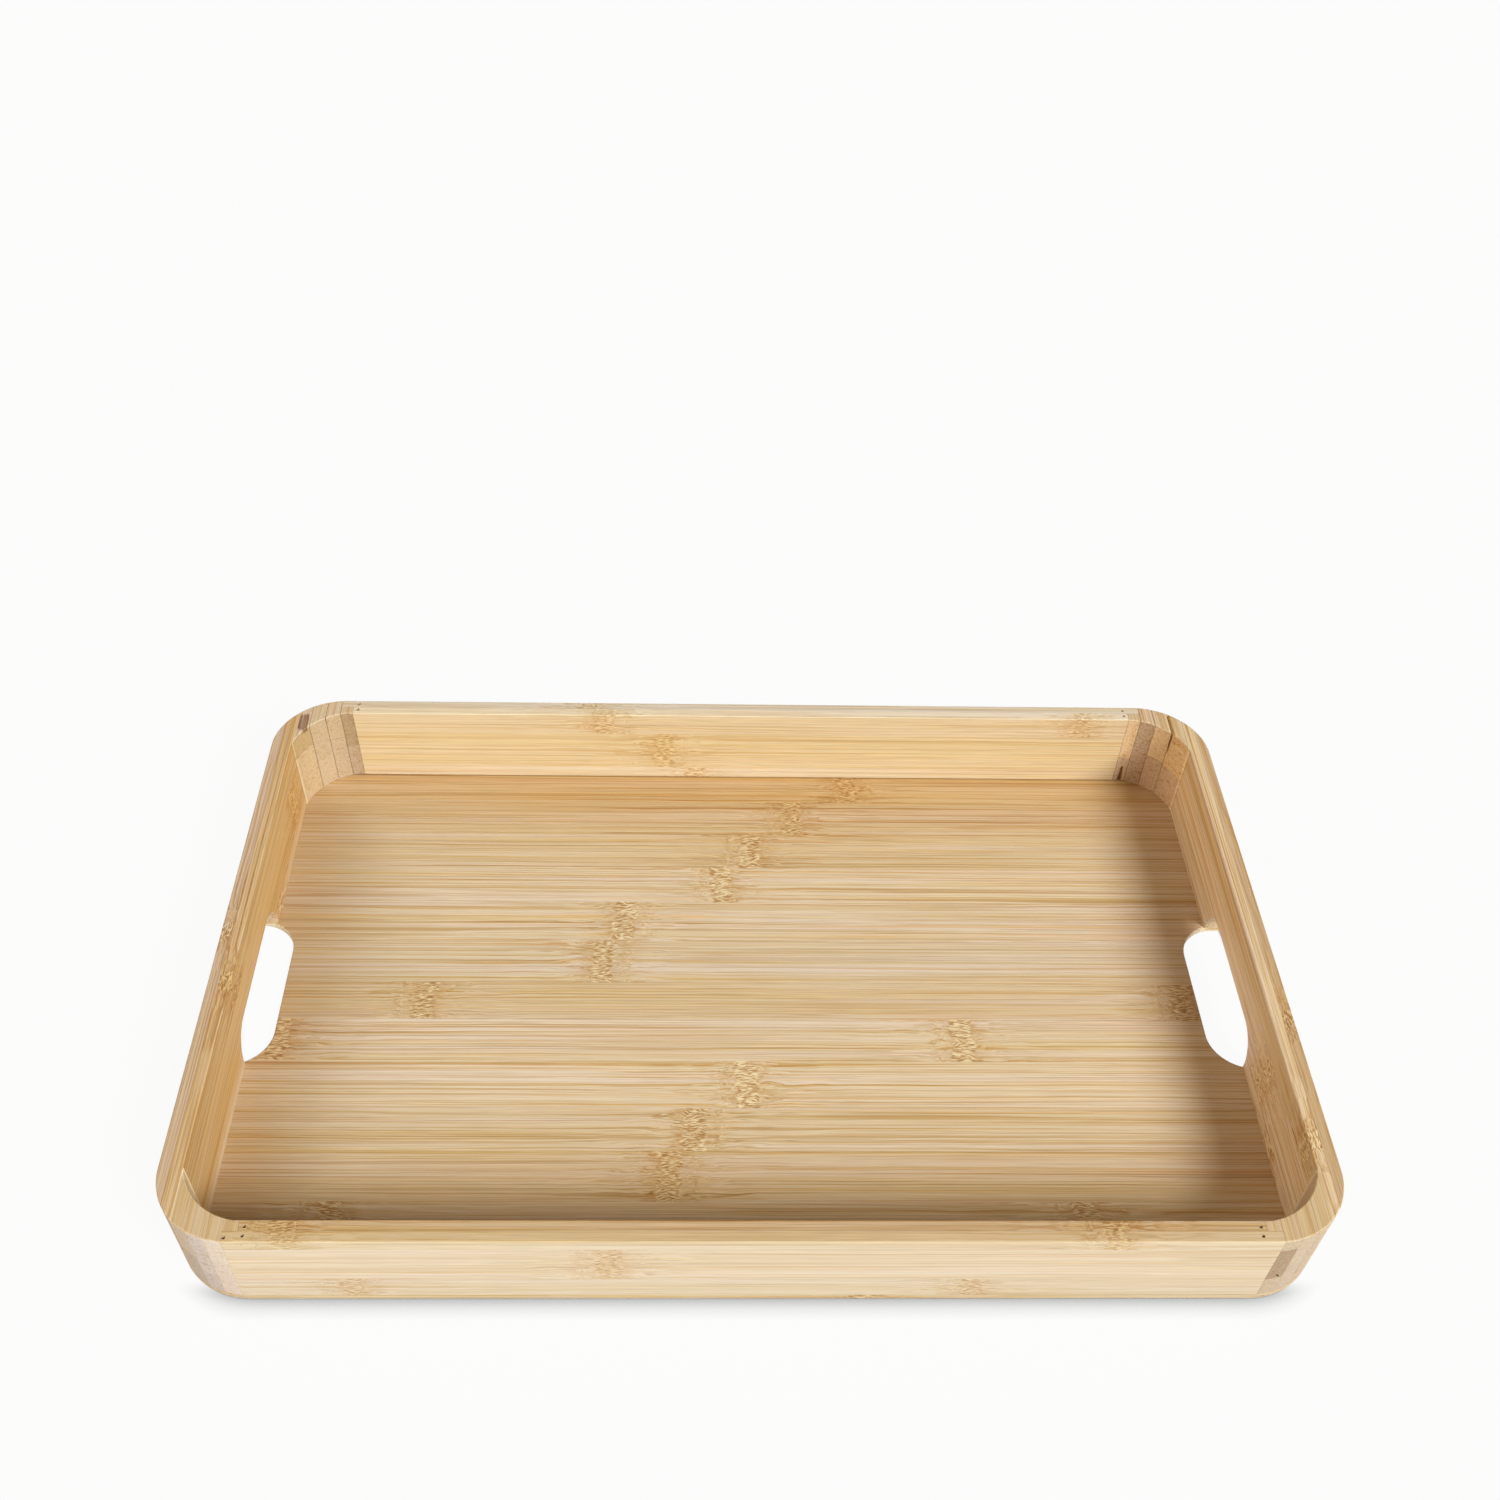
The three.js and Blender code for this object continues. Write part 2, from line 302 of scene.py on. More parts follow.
class Bamboo(Graph):
    """Shader group for solid bamboo. Point is in millimetres: along the fibres, across the strip's
    wide face, and through its thickness, so the same fibres show as lines on the long faces and as
    dots on the ends. Cut says how squarely the surface crosses the fibres, and Edge where it is the
    rounded part of an upper edge, which gets a painted highlight, both from 0 to 1."""

    INPUTS = (
        ("Point", "NodeSocketVector"),
        ("Cut", "NodeSocketFloat"),
        ("Edge", "NodeSocketFloat"),
        ("Tone", "NodeSocketColor"),
        ("Seed", "NodeSocketFloat"),
        ("Contrast", "NodeSocketFloat"),
        ("Knuckle A", "NodeSocketFloat"),
        ("Knuckle B", "NodeSocketFloat"),
    )
    OUTPUTS = (
        ("Color", "NodeSocketColor"),
        ("Roughness", "NodeSocketFloat"),
        ("Height", "NodeSocketFloat"),
    )

    def __init__(self):
        super().__init__(bpy.data.node_groups.new("bamboo", "ShaderNodeTree"))
        for name, kind in self.INPUTS:
            self.tree.interface.new_socket(name=name, in_out="INPUT", socket_type=kind)
        for name, kind in self.OUTPUTS:
            self.tree.interface.new_socket(name=name, in_out="OUTPUT", socket_type=kind)
        given = self.tree.nodes.new("NodeGroupInput").outputs
        self.along, self.across, self.through = self.split(given["Point"])
        self.cut = given["Cut"]
        self.edge = given["Edge"]
        self.tone = given["Tone"]
        self.seed = given["Seed"]
        self.contrast = given["Contrast"]
        self.knuckles = (given["Knuckle A"], given["Knuckle B"])
        self.shift = self.product(self.seed, SEED_STEP)
        self.lengthways = self.math("SUBTRACT", 1.0, self.product(self.cut, 0.92))
        self.liveliness = self.ramp(self.contrast, 0.5, 1.0, 0.60, 1.0)

    def build(self):
        self.find_knuckle()
        self.bend_fibres()
        self.hair = self.fibres(*HAIR)
        self.line = self.fibres(*LINE)
        self.lines = self.line_shares()
        colour = self.tinted(self.tone)
        colour = self.lined(colour)
        colour = self.haloed(colour)
        colour = self.knuckled(colour)
        colour = self.cut_across(colour)
        # Painted highlight on the rounded upper edges
        colour = self.tint(colour, self.edge, EDGE_HIGHLIGHT)
        made = self.tree.nodes.new("NodeGroupOutput").inputs
        self.tree.links.new(colour, made["Color"])
        self.tree.links.new(self.roughness(), made["Roughness"])
        self.tree.links.new(self.height(), made["Height"])

    def centred(self, value, size):
        """A noise from 0 to 1, moved to lie round 0 and stretched to size."""
        return self.product(self.math("SUBTRACT", value, 0.5), size)

    def drift(self, per_along, per_across, size, detail=2.0):
        """Slow noise over the strip's wide face, round 0. Its steps are per millimetre."""
        x = self.product(self.along, per_along)
        y = self.product(self.across, per_across)
        return self.centred(self.noise(x, y, self.shift, detail), size)

    def find_knuckle(self):
        """How far the nearest knuckle is, with a sign, from its ragged middle line, and where its fan,
        its halo and, on one side, its faint echo are."""
        ragged = self.along
        for per_across, size in (FINE_RAG, SLOW_RAG):
            rag = self.noise(self.product(self.across, per_across), self.shift, self.through, 1.0)
            ragged = self.total(ragged, self.centred(rag, size))
        to_a, to_b = (self.math("SUBTRACT", ragged, knuckle) for knuckle in self.knuckles)
        a_nearer = self.math("LESS_THAN", self.math("ABSOLUTE", to_a), self.math("ABSOLUTE", to_b))
        self.signed = self.node("Mix", {0: a_nearer, 2: to_b, 3: to_a}, data_type="FLOAT")
        self.away = self.math("ABSOLUTE", self.signed)
        side = self.math("SIGN", self.math("SINE", self.product(self.seed, 5.0)))
        self.fan = self.bell(self.away, FAN_REACH)
        self.halo = self.bell(self.total(self.signed, self.product(side, HALO_SHIFT)), HALO_REACH)
        to_echo = self.math("SUBTRACT", self.signed, self.product(side, ECHO_SHIFT))
        self.echo = self.bell(to_echo, ECHO_REACH)

    def bend_fibres(self):
        """Fibres wander slowly, and crowd, spread and ripple beside a knuckle."""
        crowding = self.product(self.drift(*CROWDING), self.fan)
        rippling = self.product(self.drift(*RIPPLING, detail=1.0), self.bell(self.away, RIPPLE_REACH))
        bend = self.total(self.drift(*WANDERING), crowding, rippling)
        self.lane = self.total(self.across, bend, self.shift)
        self.layer = self.total(self.through, self.product(bend, 0.5), self.shift)

    def fibres(self, length, width, detail, roughness=0.5, offset=0.0):
        x = self.total(self.math("DIVIDE", self.along, length), self.total(self.shift, offset))
        y = self.math("DIVIDE", self.lane, width)
        z = self.math("DIVIDE", self.layer, width)
        return self.noise(x, y, z, detail, roughness)

    def threads(self, length, width, thickness, offset):
        """Thin lines where a smooth stretched noise crosses its middle, fading in and out."""
        value = self.fibres(length, width, 0.0, 0.5, offset)
        from_middle = self.math("ABSOLUTE", self.math("SUBTRACT", value, 0.5))
        fading = self.fibres(length * 0.4, width * 0.9, 1.0, 0.5, offset + 0.7)
        thin = self.ramp(from_middle, thickness, thickness * 0.3)
        return self.product(thin, self.ramp(fading, 0.42, 0.64))

    def shown(self, value, low, high, share=1.0):
        """How much of a layer shows, up to share, fading out on the cut ends."""
        return self.product(self.ramp(value, low, high, 0.0, share), self.lengthways)

    def line_shares(self):
        """Dark fibres, fewer where the strip is pale."""
        self.gold = self.fibres(*GOLD)
        where = self.ramp(self.gold, 0.36, 0.60, 0.55, 1.0)
        return self.product(self.shown(self.line, 0.50, 0.64), where, self.contrast)

    def tinted(self, colour):
        """Broad pink, golden and amber tints."""
        for value, low, high, share, shade in (
            (self.fibres(*CLOUD), 0.46, 0.62, 1.0, BLUSH_SHADE),
            (self.gold, 0.50, 0.66, 0.85, GOLD_SHADE),
            (self.fibres(*AMBER), 0.54, 0.68, 0.9, AMBER_SHADE),
        ):
            strength = self.product(self.shown(value, low, high, share), self.liveliness)
            colour = self.tint(colour, strength, shade)
        return colour

    def lined(self, colour):
        """Dark lines, flecks and threads, thicker beside a knuckle, and a fine hair over it all."""
        colour = self.tint(colour, self.lines, LINE_SHADE)
        fleck = self.shown(self.fibres(*FLECK), 0.52, 0.66, 0.7)
        colour = self.tint(colour, self.product(fleck, self.bell(self.away, FLECK_REACH)), LINE_SHADE)
        close = self.product(self.threads(*CLOSE_THREADS), CLOSE_THREADS_SHARE)
        thread = self.math("MAXIMUM", self.threads(*COARSE_THREADS), close)
        near_knuckle = self.ramp(self.fan, 0.1, 0.9, 1.0, 1.5)
        thread = self.math("MINIMUM", self.product(thread, self.contrast, near_knuckle), 1.0)
        colour = self.tint(colour, thread, THREAD_SHADE)
        grey = self.ramp(self.hair, 0.25, 0.75, 0.93, 1.07)
        return self.mix(1.0, colour, self.join(grey, grey, grey), blend="MULTIPLY")

    def haloed(self, colour):
        """A brown halo round each knuckle, which runs out along the fibres."""
        runs_out = self.ramp(self.line, 0.30, 0.60, 0.25, 1.0)
        strength = self.ramp(self.contrast, 0.5, 1.4, 0.55, 1.0)
        return self.tint(colour, self.product(self.halo, runs_out, strength), HALO_SHADE)

    def knuckled(self, colour):
        """Short tilted strokes across each knuckle, pale over gold over brown."""
        tilting = self.product(self.drift(*STROKE_TILT, detail=1.0), self.signed)
        noise = self.noise(
            self.math("DIVIDE", self.along, STROKE_LENGTH),
            self.math("DIVIDE", self.total(self.across, tilting, self.shift), STROKE_WIDTH),
            self.math("DIVIDE", self.total(self.through, self.shift), STROKE_WIDTH),
            1.0,
        )
        dark = self.tint(self.tone, 1.0, KNUCKLE_DARK)
        gold = self.tint(self.tone, 1.0, KNUCKLE_GOLD)
        pale = self.tint(self.tone, 1.0, KNUCKLE_PALE)
        pale_share = self.ramp(noise, 0.51, 0.58)
        flesh = self.mix(self.ramp(noise, 0.41, 0.51), dark, gold)
        band = self.product(self.ramp(self.away, BAND_OUTSIDE, BAND_INSIDE), 0.95)
        band = self.math("MAXIMUM", band, self.product(self.echo, 0.40))
        band = self.product(band, self.liveliness)
        self.raised = self.product(band, pale_share)
        return self.mix(band, colour, self.mix(pale_share, flesh, pale))

    def cut_across(self, colour):
        """Cut ends: a little darker, with the bundles of fibres as dots."""
        point = self.join(
            self.math("DIVIDE", self.along, DOT_LENGTH),
            self.math("DIVIDE", self.lane, DOT_WIDTH),
            self.math("DIVIDE", self.layer, DOT_WIDTH),
        )
        distance = self.node("TexVoronoi", {"Vector": point, "Scale": 1.0}, feature="F1")
        self.dots = self.product(self.ramp(distance, 0.42, 0.22), self.cut, self.contrast)
        colour = self.tint(colour, self.cut, END_SHADE)
        return self.tint(colour, self.dots, DOT_SHADE)

    def roughness(self):
        """Rougher along dark fibres and on the cut ends, smoother on the rounded upper edges."""
        rough = self.ramp(self.hair, 0.2, 0.8, 0.48, 0.60)
        rough = self.total(rough, self.product(self.lines, 0.08), self.product(self.cut, 0.15))
        return self.math("SUBTRACT", rough, self.product(self.edge, 0.08))

    def height(self):
        """Dark fibres and dots lie low, and the pale strokes of a knuckle stand up."""
        high = self.total(self.product(self.hair, 0.5), self.product(self.raised, 0.9))
        low = self.total(self.product(self.lines, 0.6), self.product(self.dots, 0.8))
        return self.math("SUBTRACT", high, low)


# Which object axes run along the fibres, across the strip's wide face and through its thickness
FLOOR_AXES = (0, 1, 2)
LONG_RAIL_AXES = (0, 2, 1)
END_RAIL_AXES = (1, 2, 0)
BLOCK_AXES = (1, 2, 0)

BASE_TONE = (0.673, 0.564, 0.377)


def toned(lightness, warmth, blush=0.0):
    """Base bamboo colour of a strip. Warmth takes green and blue away, towards amber. Blush takes
    green away and adds blue, towards pink."""
    red, green, blue = BASE_TONE
    return (
        red * lightness * (1 + 0.01 * warmth),
        green * lightness * (1 - 0.075 * warmth - 0.055 * blush),
        blue * lightness * (1 - 0.24 * warmth + 0.05 * blush),
        1.0,
    )


def shade_between(tone, other):
    """The shade that turns one tone into the other."""
    return tuple(there / here for here, there in zip(tone[:3], other[:3]))


def object_space(g):
    """The place of a point, in millimetres, and its facing, both in object space."""
    coordinates = g.tree.nodes.new("ShaderNodeTexCoord").outputs
    scaled = g.node("VectorMath", {0: coordinates["Object"], "Scale": MM_PER_METRE}, operation="SCALE")
    return g.split(scaled), g.split(coordinates["Normal"])


def new_material(name):
    """A material, its graph and its shader."""
    material = bpy.data.materials.new(name)
    material.use_nodes = True
    return material, Graph(material.node_tree), material.node_tree.nodes["Principled BSDF"]


def open_material(material):
    """What a further layer of colour needs: the graph, the shader, its colour so far, and the place
    and facing in object space."""
    g = Graph(material.node_tree)
    shader = material.node_tree.nodes["Principled BSDF"]
    colour = shader.inputs["Base Color"].links[0].from_socket
    return g, shader, colour, *object_space(g)


def bamboo(name, axes, tone, seed, knuckles=(), contrast=1.0, rim=None, ends=None):
    """One strip's own material. Contrast scales how dark its fibres are. Rim and ends are the shades
    of its upper face and of its cut ends."""
    material, g, shader = new_material(name)
    place, facing = object_space(g)
    cut = g.ramp(g.math("ABSOLUTE", facing[axes[0]]), 0.15, 0.85)
    # Where the surface is the rounded part of an upper edge, which gets a painted highlight
    edge_highlight_share = g.product(g.ramp(facing[2], 0.10, 0.35), g.ramp(facing[2], 0.98, 0.85))
    places = [*knuckles, NO_KNUCKLE, NO_KNUCKLE]
    grain = g.tree.nodes.new("ShaderNodeGroup")
    grain.node_tree = bpy.data.node_groups["bamboo"]
    g.tree.links.new(g.join(*(place[axis] for axis in axes)), grain.inputs["Point"])
    g.tree.links.new(cut, grain.inputs["Cut"])
    g.tree.links.new(edge_highlight_share, grain.inputs["Edge"])
    grain.inputs["Tone"].default_value = tone
    grain.inputs["Seed"].default_value = seed
    grain.inputs["Contrast"].default_value = contrast
    grain.inputs["Knuckle A"].default_value = places[0]
    grain.inputs["Knuckle B"].default_value = places[1]
    height = grain.outputs["Height"]
    bump = g.node("Bump", {"Height": height, "Strength": BUMP_STRENGTH, "Distance": BUMP_DEPTH})
    colour = grain.outputs["Color"]
    if rim:
        colour = g.tint(colour, g.ramp(facing[2], 0.3, 0.7), rim)
    if ends:
        colour = g.tint(colour, cut, ends)
    g.tree.links.new(colour, shader.inputs["Base Color"])
    g.tree.links.new(grain.outputs["Roughness"], shader.inputs["Roughness"])
    g.tree.links.new(bump, shader.inputs["Normal"])
    shader.inputs["Specular IOR Level"].default_value = SPECULAR_LEVEL
    return material


STEEL_DARK = (0.012, 0.010, 0.009, 1.0)
STEEL_PALE = (0.05, 0.042, 0.036, 1.0)
STEEL_PATCHES_PER_METRE = 2600.0


def make_steel():
    """Blued wire with dull patches."""
    material, g, shader = new_material("pin_steel")
    place = g.tree.nodes.new("ShaderNodeTexCoord").outputs["Object"]
    patches = g.node("TexNoise", {"Vector": place, "Scale": STEEL_PATCHES_PER_METRE, "Detail": 3.0})
    colour = g.mix(g.ramp(patches, 0.35, 0.65), STEEL_DARK, STEEL_PALE)
    g.tree.links.new(colour, shader.inputs["Base Color"])
    g.tree.links.new(g.ramp(patches, 0.3, 0.7, 0.6, 0.8), shader.inputs["Roughness"])
    bump = g.node("Bump", {"Height": patches, "Strength": 0.4, "Distance": 0.05 * MM})
    g.tree.links.new(bump, shader.inputs["Normal"])
    shader.inputs["Metallic"].default_value = 0.3
    return material


# ---------------------------------------------------------------- ground and sky

def square(half_x, half_y):
    return [(-half_x, -half_y), (half_x, -half_y), (half_x, half_y), (-half_x, half_y)]


def outside_tray(g):
    """1 on the ground round the tray and 0 under it, where the gap would be black from below."""
    x, y, _ = g.split(g.tree.nodes.new("ShaderNodeTexCoord").outputs["Object"])
    from_end = g.math("ABSOLUTE", x)
    from_side = g.math("ABSOLUTE", y)
    past_end = g.math("GREATER_THAN", from_end, HALF_LENGTH - FOOT_EASE)
    straight = g.ramp(from_side, HALF_DEPTH - OUTER_RADIUS, HALF_DEPTH - 3 * OUTER_RADIUS)
    past_side = g.ramp(from_side, HALF_DEPTH - 8 * FOOT_EASE, HALF_DEPTH - FOOT_EASE)
    corner_x = g.math("MAXIMUM", g.math("SUBTRACT", from_end, HALF_LENGTH - OUTER_RADIUS), 0.0)
    corner_y = g.math("SUBTRACT", from_side, HALF_DEPTH - OUTER_RADIUS)
    squares = g.total(g.product(corner_x, corner_x), g.product(corner_y, corner_y))
    past_round = g.math("GREATER_THAN", g.math("SQRT", squares), OUTER_RADIUS - FOOT_EASE)
    return g.math("MAXIMUM", g.product(past_end, straight), g.product(past_side, past_round))


def make_ground_material(name, contact):
    """Ground that glows evenly, with a contact shadow if asked."""
    material = bpy.data.materials.new(name)
    material.use_nodes = True
    nodes = material.node_tree.nodes
    nodes.clear()
    g = Graph(material.node_tree)
    strength = GROUND_GLOW
    if contact:
        openness = g.node("AmbientOcclusion", {"Distance": CONTACT_REACH}, out=1, samples=4)
        shade = g.product(g.ramp(openness, 1.0, 0.15, 0.0, CONTACT_DEPTH), outside_tray(g))
        strength = g.product(g.math("SUBTRACT", 1.0, shade), GROUND_GLOW)
    glow = g.node("Emission", {"Color": (1, 1, 1, 1), "Strength": strength})
    matte = g.node("BsdfDiffuse", {"Color": (GROUND_ALBEDO, GROUND_ALBEDO, GROUND_ALBEDO, 1)})
    out = nodes.new("ShaderNodeOutputMaterial")
    material.node_tree.links.new(g.node("AddShader", {0: glow, 1: matte}), out.inputs["Surface"])
    return material


def make_ground():
    """Pale, evenly lit floor. The part round the tray has a short soft contact shadow at its foot."""
    near = square(HALF_LENGTH + 2 * CONTACT_REACH, HALF_DEPTH + 2 * CONTACT_REACH)
    far = square(GROUND_HALF_SIZE, GROUND_HALF_SIZE)
    points = [(x, y, -GROUND_DROP) for x, y in near + far]
    faces = [(0, 1, 2, 3)]
    for i in range(4):
        j = (i + 1) % 4
        faces.append((4 + i, 4 + j, j, i))
    mesh = bpy.data.meshes.new("ground")
    mesh.from_pydata(points, [], faces)
    mesh.materials.append(make_ground_material("ground_near", True))
    mesh.materials.append(make_ground_material("ground_far", False))
    for face in mesh.polygons:
        face.material_index = 0 if face.index == 0 else 1
    ground = bpy.data.objects.new("ground", mesh)
    bpy.context.scene.collection.objects.link(ground)


def make_sky():
    """Soft even fill. The backdrop itself is as bright as the floor."""
    world = bpy.data.worlds.new("studio")
    world.use_nodes = True
    bpy.context.scene.world = world
    g = Graph(world.node_tree)
    background = world.node_tree.nodes["Background"]
    seen = g.tree.nodes.new("ShaderNodeLightPath").outputs["Is Camera Ray"]
    sky = [value * SKY_STRENGTH for value in SKY_COLOUR[:3]] + [1.0]
    world.node_tree.links.new(g.mix(seen, tuple(sky), BACKDROP_COLOUR), background.inputs["Color"])
    background.inputs["Strength"].default_value = 1.0


# ---------------------------------------------------------------- mesh helpers

def add_object(name, mesh):
    made = bpy.data.objects.new(name, mesh)
    bpy.context.scene.collection.objects.link(made)
    return made


def loft(name, loops, closed=False):
    """Skins matching loops of points. A closed loft joins the last loop to the first, and an open one
    has a face at each end."""
    count = len(loops[0])
    points = [point for loop in loops for point in loop]
    rows = len(loops) if closed else len(loops) - 1
    faces = []
    for row in range(rows):
        low = row * count
        high = (row + 1) % len(loops) * count
        for i in range(count):
            j = (i + 1) % count
            faces.append((low + i, low + j, high + j, high + i))
    if not closed:
        last = (len(loops) - 1) * count
        faces.append(tuple(reversed(range(count))))
        faces.append(tuple(range(last, last + count)))
    mesh = bpy.data.meshes.new(name)
    mesh.from_pydata(points, [], faces)
    return add_object(name, mesh)


def rectangle(left, right, front, rear, z):
    return [(left, front, z), (right, front, z), (right, rear, z), (left, rear, z)]


def box(name, low, high):
    return loft(name, [rectangle(low[0], high[0], low[1], high[1], z) for z in (low[2], high[2])])


def combined(target, cutter, operation):
    """The mesh of target joined, cut or met with cutter. Both objects stay as they were."""
    modifier = target.modifiers.new("cut", "BOOLEAN")
    modifier.operation = operation
    modifier.solver = "EXACT"
    modifier.object = cutter
    evaluated = target.evaluated_get(bpy.context.evaluated_depsgraph_get())
    mesh = bpy.data.meshes.new_from_object(evaluated)
    target.modifiers.remove(modifier)
    return mesh


def cut_away(target, cutter):
    target.data = combined(target, cutter, "DIFFERENCE")
    bpy.data.objects.remove(cutter)


def arc(centre, radius, start, end, steps=ARC_STEPS):
    """Points on an arc, both ends included."""
    angles = [start + (end - start) * i / steps for i in range(steps + 1)]
    return [(centre[0] + radius * math.cos(a), centre[1] + radius * math.sin(a)) for a in angles]


def plan(centre_x, centre_y, radius, crease=0.0):
    """Plan outline with four round corners, each arc starting and ending short by the crease."""
    points = []
    for quarter, (side_x, side_y) in enumerate(((1, 1), (-1, 1), (-1, -1), (1, -1))):
        start = quarter * math.pi / 2
        centre = (side_x * centre_x, side_y * centre_y)
        points += arc(centre, radius, start + crease, start + math.pi / 2 - crease)
    return points


def tray_plan(inset, z):
    points = plan(HALF_LENGTH - OUTER_RADIUS, HALF_DEPTH - OUTER_RADIUS, OUTER_RADIUS - inset)
    return [(x, y, z) for x, y in points]


def well_plan(outset, z):
    radius = INNER_RADIUS + outset
    crease = math.acos((INNER_REACH + outset) / radius)
    points = plan(WELL_X - INNER_REACH, WELL_Y - INNER_REACH, radius, crease)
    return [(x, y, z) for x, y in points]


def quarter_round(ease):
    """(depth, inset) pairs down an edge rounded to radius ease, from the face at the edge inwards."""
    angles = [math.pi / 2 * i / EASE_STEPS for i in range(EASE_STEPS + 1)]
    return [(ease * (1 - math.cos(a)), ease * (1 - math.sin(a))) for a in angles]


def through_wall(low, high, ease):
    """(position, outset) pairs for a cutter that rounds both edges of the wall it goes through."""
    entry = [(low + depth, inset) for depth, inset in quarter_round(ease)]
    leave = [(high - depth, inset) for depth, inset in reversed(quarter_round(ease))]
    return [(low - BEYOND, ease), *entry, *leave, (high + BEYOND, ease)]


# ---------------------------------------------------------------- rail ring and floor panel

def make_ring():
    rim = quarter_round(RIM_EASE)
    loops = [tray_plan(0.0, FLOOR_TOP)]
    loops += [tray_plan(inset, HEIGHT - depth) for depth, inset in reversed(rim)]
    loops += [well_plan(inset, HEIGHT - depth) for depth, inset in rim]
    loops.append(well_plan(0.0, FLOOR_TOP))
    return loft("ring", loops, closed=True)


def make_panel():
    loops = [tray_plan(inset, depth) for depth, inset in quarter_round(FOOT_EASE)]
    loops.append(tray_plan(0.0, FLOOR_TOP))
    return loft("panel", loops)


def make_arch_cutter(side):
    def outline(outset):
        width = ARCH_HALF_WIDTH + outset
        centre_y = ARCH_HALF_WIDTH - ARCH_RADIUS
        centre_z = ARCH_TOP - ARCH_RADIUS
        radius = ARCH_RADIUS + outset
        right = arc((centre_y, centre_z), radius, 0.0, math.pi / 2)
        left = arc((-centre_y, centre_z), radius, math.pi / 2, math.pi)
        return [(-width, -BEYOND), (width, -BEYOND), *right, *left]

    loops = []
    for x, outset in through_wall(WELL_X, HALF_LENGTH, ARCH_EASE):
        loops.append([(side * x, y, z) for y, z in outline(outset)])
    if side < 0:
        loops.reverse()
    return loft("arch_cutter", loops)


def make_scoop_cutter(side):
    inner = HALF_LENGTH - SCOOP_DEPTH[side]

    def outline(outset):
        width = SCOOP_HALF_WIDTH + outset
        centre_x = inner + SCOOP_RADIUS
        centre_y = SCOOP_HALF_WIDTH - SCOOP_RADIUS
        radius = SCOOP_RADIUS + outset
        rear = arc((centre_x, centre_y), radius, math.pi / 2, math.pi)
        front = arc((centre_x, -centre_y), radius, math.pi, 1.5 * math.pi)
        edge = HALF_LENGTH + BEYOND
        return [(edge, width), *rear, *front, (edge, -width)]

    loops = []
    for z, outset in through_wall(0.0, FLOOR_TOP, SCOOP_EASE):
        loops.append([(side * x, side * y, z) for x, y in outline(outset)])
    return loft("scoop_cutter", loops)


def pin_places():
    """(name, x, y, lowest z, highest z) of every pin, from the CAD pins."""
    places = []
    for corner in ("front_left", "front_right", "rear_left", "rear_right"):
        for ply in ("inner", "outer"):
            name = f"pin_{corner}_{ply}"
            low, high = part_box(name)
            places.append((name, (low.x + high.x) / 2, (low.y + high.y) / 2, low.z, high.z))
    return places


def tube(name, x, y, sections):
    """A round solid on a vertical axis. Sections are (z, radius) pairs, from the bottom up."""
    angles = [2 * math.pi * i / PIN_SIDES for i in range(PIN_SIDES)]
    loops = []
    for z, radius in sections:
        loops.append([(x + radius * math.cos(a), y + radius * math.sin(a), z) for a in angles])
    return loft(name, loops)


def wedge(low, high, foot, tip):
    """Cutter for an open joint: a thin box whose width along X goes from foot at its lowest point to
    tip at its highest. Low and high are its corners at full width."""
    middle = (low[0] + high[0]) / 2
    loops = []
    for z, width in ((low[2], foot), (high[2], tip)):
        loops.append(rectangle(middle - width / 2, middle + width / 2, low[1], high[1], z))
    return loft("flaw_cutter", loops)


# Small open joints and voids in the corner blocks: (lowest corner, highest corner, width at the foot,
# width at the top), in millimetres
FLAWS = (
    ((200.4, 118.0, 30.0), (200.4, 137.7, 43.0), 0.25, 1.25),
    ((184.6, 126.0, 3.5), (184.6, 135.6, 12.5), 2.2, 1.1),
    ((-193.5, 124.0, 36.0), (-193.5, 131.5, 43.0), 0.10, 0.45),
    ((190.7, -144.0, 15.2), (190.7, -139.8, 17.6), 3.4, 1.2),
    ((-186.0, -141.9, 34.0), (-186.0, -140.4, 43.0), 1.0, 1.5),
)


def make_masters():
    ring = make_ring()
    panel = make_panel()
    for side in (-1, 1):
        cut_away(ring, make_arch_cutter(side))
        cut_away(panel, make_scoop_cutter(side))
    for name, x, y, *_ in pin_places():
        radius = CHIPPED_HOLE_RADIUS if "rear_left" in name else PIN_HOLE_RADIUS
        sections = [(HEIGHT - PIN_HOLE_DEPTH, radius), (HEIGHT + BEYOND, radius)]
        cut_away(ring, tube("hole_cutter", x, y, sections))
    for low, high, foot, tip in FLAWS:
        low_corner = [value * MM for value in low]
        high_corner = [value * MM for value in high]
        cut_away(ring, wedge(low_corner, high_corner, foot * MM, tip * MM))
    return ring, panel


# ---------------------------------------------------------------- pieces

def finish_piece(piece, node, material):
    """Smooth shading with crisp corners, then the material, the body and the CAD node it stands for."""
    mesh = piece.data
    mesh.materials.clear()
    mesh.materials.append(material)
    mesh.shade_smooth()
    mesh.set_sharp_from_angle(angle=math.radians(CREASE_ANGLE))
    weighted = piece.modifiers.new("normals", "WEIGHTED_NORMAL")
    weighted.keep_sharp = True
    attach(piece, "root")
    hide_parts(node)


def spread_to_faces(node, axis, half):
    """Where a CAD node starts and ends along an axis, and further out where it ends at the tray's
    outer face, so that the cut leaves no skin there."""
    low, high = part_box(node)
    start = low[axis] - (BEYOND if low[axis] < -half + SEAM else 0.0)
    end = high[axis] + (BEYOND if high[axis] > half - SEAM else 0.0)
    return start, end


def cut_piece(master, name, low, high, seam=SEAM):
    """The part of master inside a box, which is a hairline smaller than asked, for the glue lines."""
    low_corner = [value + seam / 2 for value in low]
    high_corner = [value - seam / 2 for value in high]
    keeper = box("keeper", low_corner, high_corner)
    mesh = combined(master, keeper, "INTERSECT")
    bpy.data.objects.remove(keeper)
    return add_object(name, mesh)
